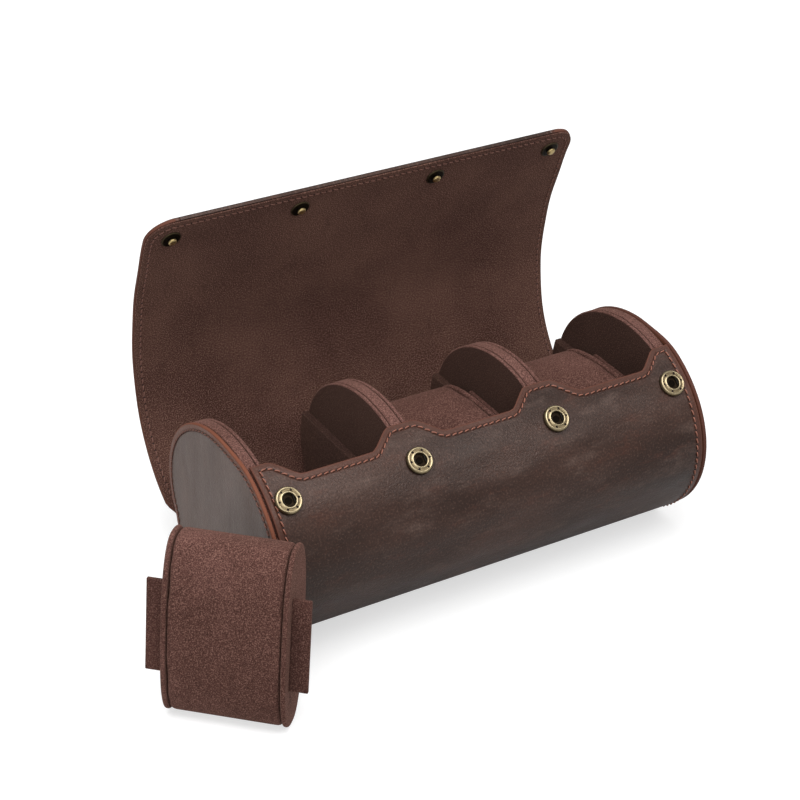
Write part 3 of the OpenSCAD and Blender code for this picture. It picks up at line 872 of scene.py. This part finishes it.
# Snap sockets.
# A ring with a rolled rim, a groove with six pin holes and a bright lip
# round the well.
snap_x = (-0.0965, -0.0345, 0.0345, 0.0965)
socket_at = -44.8  # the sockets' place on the oval, in degrees from the top
pin_circle, pin_z, pin_deep, pin_r_low, pin_r_high = 0.00440, 0.0021, 0.0014, 0.00052, 0.00058
seat = oval(np.array([socket_at]), 0.0)[0]
lift = oval(np.array([socket_at]), 0.001)[0] - seat
bm = lathe([(1.62, 0.5), (2.9, 0.5), (3.0, 0.6), (3.0, 1.8), (3.04, 1.98), (3.18, 2.15), (3.4, 2.22),
            (3.62, 2.17), (3.8, 2.0), (3.98, 1.9), (4.72, 1.9), (4.88, 1.98), (5.08, 2.1), (5.32, 2.08),
            (5.6, 1.88), (5.85, 1.45), (5.97, 0.95), (6.0, 0.4), (5.98, 0.06), (1.62, 0.06), (1.62, 0.5)])
bmesh.ops.remove_doubles(bm, verts=bm.verts, dist=1e-7)
bmesh.ops.recalc_face_normals(bm, faces=bm.faces)
ring = from_bmesh("socket_model", bm, old_brass)
pins = bmesh.new()
for i in range(6):
    a = math.radians(60 * i)
    at = Matrix.Translation((pin_circle * math.cos(a), pin_circle * math.sin(a), pin_z))
    bmesh.ops.create_cone(pins, cap_ends=True, segments=20, radius1=pin_r_low, radius2=pin_r_high,
                          depth=pin_deep, matrix=at)
# the holes' walls take the near-black of the needle holes: painted shade in the pin holes
pins = from_bmesh("pins", pins, hole_shade)
cutter = ring.modifiers.new("pins", "BOOLEAN")
cutter.operation, cutter.solver, cutter.object, cutter.material_mode = "DIFFERENCE", "EXACT", pins, "TRANSFER"
bpy.context.view_layer.objects.active = ring
bpy.ops.object.modifier_apply(modifier="pins")
bpy.data.objects.remove(pins)
worn_by(ring, lambda r, z: np.where(
    (r > 3.9) & (r < 4.8), 0.5 - 3 * (1.9 - z), np.where(r < 3.05, 0.55 * (z - 1.0), 0.45 + 0.5 * (z - 1.1))))
ring = set_at("socket_rings", ring, [((x, *seat), (0, *lift)) for x in snap_x])
dress(ring, "snap_sockets", "root")


# Studs and caps.
# The stud's base is dark, with its outer rim painted lighter as a highlight, and
# its ball bright from use; the cap outside is a plain dome with a fine step at
# its rim. They sit in from the free edge.
stud_in = 0.01125
p, n = on_curve(np.array(snap_x), np.full(4, s_end - stud_in), 0.0)
bm = lathe([(0, 0.6), (1.6, 0.6), (1.6, 0.1), (4.4, 0.1), (4.5, 0.18), (4.5, 0.38), (4.4, 0.56),
            (4.15, 0.7), (3.7, 0.78), (2.5, 0.8), (1.95, 0.82), (1.74, 0.9), (1.7, 1.1), (1.78, 1.3),
            (1.94, 1.5), (2.0, 1.72), (1.96, 1.98), (1.82, 2.24), (1.52, 2.48), (1.05, 2.6), (0, 2.64)])
bmesh.ops.recalc_face_normals(bm, faces=bm.faces)
stud = from_bmesh("stud_model", bm, dark_brass)
# past 4 mm the base's rounded rim is lifted to half: a painted highlight
worn_by(stud, lambda r, z: np.where(z > 1.2, 0.7 + 0.3 * (z - 1.5), np.where(r > 4.0, 0.5, 0.1)))
stud = set_at("studs", stud, [(tuple(a), tuple(-b)) for a, b in zip(p, n)])
dress(stud, "snap_studs", "flap_5")
p, n = on_curve(np.array(snap_x), np.full(4, s_end - stud_in), skin_t + 0.00005)
bm = lathe([(0, 2.0), (1.6, 1.98), (3.1, 1.9), (4.3, 1.74), (5.0, 1.52), (5.45, 1.2), (5.6, 0.95),
            (5.72, 0.8), (6.0, 0.74), (6.18, 0.6), (6.25, 0.4), (6.22, 0.18), (6.05, 0.05), (1.5, 0.05),
            (1.5, -3.1), (0, -3.1)])
bmesh.ops.recalc_face_normals(bm, faces=bm.faces)
cap = from_bmesh("cap_model", bm, old_brass)
worn_by(cap, lambda r, z: np.where(r > 5.5, np.where(r > 5.9, 0.55, 0.15), 0.75 - 0.25 * (r > 5.0)))
cap = set_at("caps", cap, [(tuple(a), tuple(b)) for a, b in zip(p, n)])
dress(cap, "snap_caps", "flap_5")


# Pillows.
# A pillow is a cushion of foam under suede between two stiff side plates,
# with a wing of stiffened suede on each side. It is drawn lying on its back
# and then set in its place, in a bay or standing in front of the roll.
pillow_half_h, pillow_half_d, squareness = 0.040, 0.015, 2.6


def pillow_side(shrink):
    """The rounded outline of a pillow seen from its side, moved inwards by shrink."""
    a = np.linspace(0, 2 * math.pi, 121)[:-1]
    u, v = (np.sign(q) * np.abs(q) ** (2 / squareness) for q in (np.cos(a), np.sin(a)))
    return np.stack([(pillow_half_h - shrink) * u, (pillow_half_d - shrink) * v], -1)


def stack(name, rings, material):
    """A closed form through rings of (x, shrink) round the pillow's side outline."""
    bm = bmesh.new()
    rows = [[bm.verts.new((x, *q)) for q in pillow_side(v)] for x, v in rings]
    for one, two in zip(rows, rows[1:]):
        for i in range(len(one)):
            j = (i + 1) % len(one)
            bm.faces.new((one[i], one[j], two[j], two[i]))
    bm.faces.new(rows[0])
    bm.faces.new(rows[-1])
    bmesh.ops.recalc_face_normals(bm, faces=bm.faces)
    return from_bmesh(name, bm, material)


pillow_suede = suede_material("pillow_suede", "object", "#4a302a", "#5e403a", 1.1)
# the wings take a darker copy of the pillows' suede: painted shade on them
wing_suede_shaded = suede_material("wing_suede_shaded", "object", "#3f2823", "#523630", 0.8)
foam = flecked_material("foam", 900, 3, 0.5, "#bfae94", "#d2c3aa", 0.95)

# The cushion starts a little small and is blown up as cloth that is held at
# both ends, so that it crowns between the side plates by less than 1 mm.
cushion_half, cushion_in, held_from, most_crown = 0.0232, 0.0002, 0.0215, 0.0008
cushion = stack("cushion_model", [(-cushion_half, cushion_in), (cushion_half, cushion_in)], pillow_suede)
bpy.context.view_layer.objects.active = cushion
cushion.data.remesh_voxel_size = 0.003
bpy.ops.object.voxel_remesh()
start = np.array([v.co for v in cushion.data.vertices])
held = cushion.vertex_groups.new(name="held")
held.add([i for i, q in enumerate(start) if abs(q[0]) > held_from], 1.0, "REPLACE")
cloth = cushion.modifiers.new("cloth", "CLOTH")
cloth.settings.use_pressure = True
cloth.settings.uniform_pressure_force = 4
cloth.settings.vertex_group_mass = "held"
cloth.settings.effector_weights.gravity = 0
cloth.settings.quality = 6
last_frame = 20
cloth.point_cache.frame_start, cloth.point_cache.frame_end = 1, last_frame
for f in range(1, last_frame + 1):
    bpy.context.scene.frame_set(f)
blown = cushion.evaluated_get(bpy.context.evaluated_depsgraph_get()).data
move = np.array([v.co for v in blown.vertices]) - start
size = np.linalg.norm(move, axis=1, keepdims=True)
move *= np.minimum(1, most_crown / np.maximum(size, 1e-9))
cushion.modifiers.clear()
cushion.data.vertices.foreach_set("co", (start + move).ravel())
cushion.vertex_groups.clear()
bpy.context.scene.frame_set(1)
sub = cushion.modifiers.new("sub", "SUBSURF")
sub.levels = sub.render_levels = 1
bpy.ops.object.modifier_apply(modifier="sub")
for q in cushion.data.polygons:
    q.use_smooth = True
core_rings = [(-0.0212, 0.0034), (-0.0206, 0.0028), (0.0206, 0.0028), (0.0212, 0.0034)]
core_model = stack("core_model", core_rings, foam)
plate_in, plate_out, plate_r = 0.0238, 0.0260, 0.0009
plate_face = (0.009, 0.004, 0.0018)  # how far in the lines on its flat faces lie
plate_rim = [(plate_r * (1 - math.cos(a)), plate_r * (1 - math.sin(a)))
             for a in np.linspace(0, math.pi / 2, 6)]
plates = []
for side in (-1, 1):
    inner, outer = side * plate_in, side * plate_out
    rings = [(inner, v) for v in plate_face] + [(inner + side * a, b) for a, b in plate_rim]
    rings += [(outer - side * a, b) for a, b in plate_rim[::-1]] + [(outer, v) for v in plate_face[::-1]]
    plates.append(stack("plate", rings, pillow_suede))
plate_model = join("plate_model", plates)
wing_half_l, wing_r = 0.0205, 0.0004


def wing(profile):
    """Both wings from a profile in x and z, in millimetres."""
    both = []
    for side in (-1, 1):
        bm = bmesh.new()
        ends = [[bm.verts.new((side * x * 1e-3, y, z * 1e-3)) for x, z in profile]
                for y in (-wing_half_l, wing_half_l)]
        bm.faces.new(ends[0])
        bm.faces.new(ends[1])
        for i in range(len(profile)):
            j = (i + 1) % len(profile)
            bm.faces.new((ends[0][i], ends[0][j], ends[1][j], ends[1][i]))
        bmesh.ops.recalc_face_normals(bm, faces=bm.faces)
        edges = [e for e in bm.edges if e.calc_face_angle(0) > 0.9]
        bmesh.ops.bevel(bm, geom=edges, offset=wing_r, segments=2, affect="EDGES", profile=0.5)
        both.append(from_bmesh("wing", bm, wing_suede_shaded))
    return join("wing_model", both)


# straight on the loose pillow; in a bay the ends bend up beside the ledges
straight = [(26.05, 6.7), (30.0, 6.7), (34.0, 6.7), (34.0, 8.5), (30.0, 8.5), (26.05, 8.5)]
bent = [(26.05, 6.7), (28.0, 6.7), (28.8, 6.85), (29.4, 7.3), (29.6, 8.1), (29.6, 12.9), (27.8, 12.9),
        (27.8, 9.2), (27.6, 8.7), (27.1, 8.5), (26.05, 8.5)]
wings = {1: wing(straight), 2: wing(bent)}
wings[3] = wings[2]
# the loose pillow stands on its lowest point, turned to the front and leaning back by 10 degrees
loose_x, loose_y, turned, lean, tipped = -0.1311, -0.0562, *map(math.radians, (-43, 10, 80))
low = min(p[0] * math.cos(lean) + p[1] * math.sin(lean) for p in pillow_side(0.0))
standing = (Matrix.Translation((loose_x, loose_y, -low)) @ Matrix.Rotation(turned, 4, "Z")
            @ Matrix.Rotation(tipped, 4, "X"))
bay_z = 0.0506
poses = {1: standing, 2: Matrix.Translation((0, 0, bay_z)), 3: Matrix.Translation((bay_pitch, 0, bay_z))}
for k, pose in poses.items():
    for model, word, node_name, slot in (
            (cushion, "cushion", "cover", "suede"), (core_model, "foam", "core", "foam"),
            (plate_model, "plates_look", "plates", "suede"),
            (wings[k], "wings_look", "wings", "suede_board")):
        piece = linked(f"pillow_{k}_{word}", model.data.copy())
        piece.data.transform(pose)
        dress(piece, f"pillow_{k}_{node_name}", f"pillow_{k}")
for o in (cushion, core_model, plate_model, wings[1], wings[2]):
    bpy.data.objects.remove(o)


# Posts and springs of the snaps.
# They lie deep in the sockets: the post is nearly black, and its spring wire
# catches a little light.
spring_steel = brass_material("spring_steel", "#2a2825", "#77736b", "#c8c4ba")
for node_name, metal in (("snap_posts", dark_brass), ("snap_springs", spring_steel)):
    for s in frame["nodes"][node_name].material_slots:
        s.material = metal


# Floor and light.
# A pale seamless floor, which brightens to white further off, under a large
# soft light overhead, with weaker ones at the front and side.
floor_half, floor_z = 7, -0.0002
mesh = bpy.data.meshes.new("floor")
corners = [(x * floor_half, y * floor_half, floor_z) for x, y in ((-1, -1), (1, -1), (1, 1), (-1, 1))]
mesh.from_pydata(corners, [], [(0, 1, 2, 3)])
floor = linked("floor", mesh)
m = new_material("floor")
seen = node(m, "LightPath").outputs["Is Camera Ray"]
place = node(m, "NewGeometry").outputs["Position"]
far = ramp(m, node(m, "VectorMath", _operation="LENGTH", i0=place).outputs["Value"], 0.5, 2.0, 0.6, 1.0)
glow = node(m, "Emission", Color=(1, 1, 1, 1), Strength=math_node(m, "MULTIPLY", seen, far))
plain = node(m, "BsdfDiffuse", Color=(0.5, 0.5, 0.5, 1))
node(m, "OutputMaterial", Surface=node(m, "AddShader", i0=plain.outputs[0], i1=glow.outputs[0]).outputs[0])
floor.data.materials.append(m)

world = bpy.data.worlds.new("studio")
bpy.context.scene.world = world
world.use_nodes = True
tree = world.node_tree
tree.nodes["Background"].inputs["Color"].default_value = (1, 1, 1, 1)
seen = tree.nodes.new("ShaderNodeMapRange")
seen.inputs["To Min"].default_value, seen.inputs["To Max"].default_value = 0.45, 1.0
tree.links.new(tree.nodes.new("ShaderNodeLightPath").outputs["Is Camera Ray"], seen.inputs["Value"])
tree.links.new(seen.outputs["Result"], tree.nodes["Background"].inputs["Strength"])


def soft_light(name, place, target, size, power):
    data = bpy.data.lights.new(name, "AREA")
    data.shape, data.size, data.size_y, data.energy = "RECTANGLE", size[0], size[1], power
    o = linked(name, data)
    o.location = place
    o.rotation_euler = (Vector(target) - Vector(place)).to_track_quat("-Z", "Y").to_euler()


soft_light("overhead", (-0.25, -0.15, 1.25), (0, 0, 0), (1.1, 0.9), 16)
soft_light("front", (-0.9, -1.1, 0.7), (0, 0, 0.05), (0.8, 0.8), 6)
soft_light("side", (0.42, -0.75, 1.15), (0, 0, 0.05), (0.4, 0.5), 4)
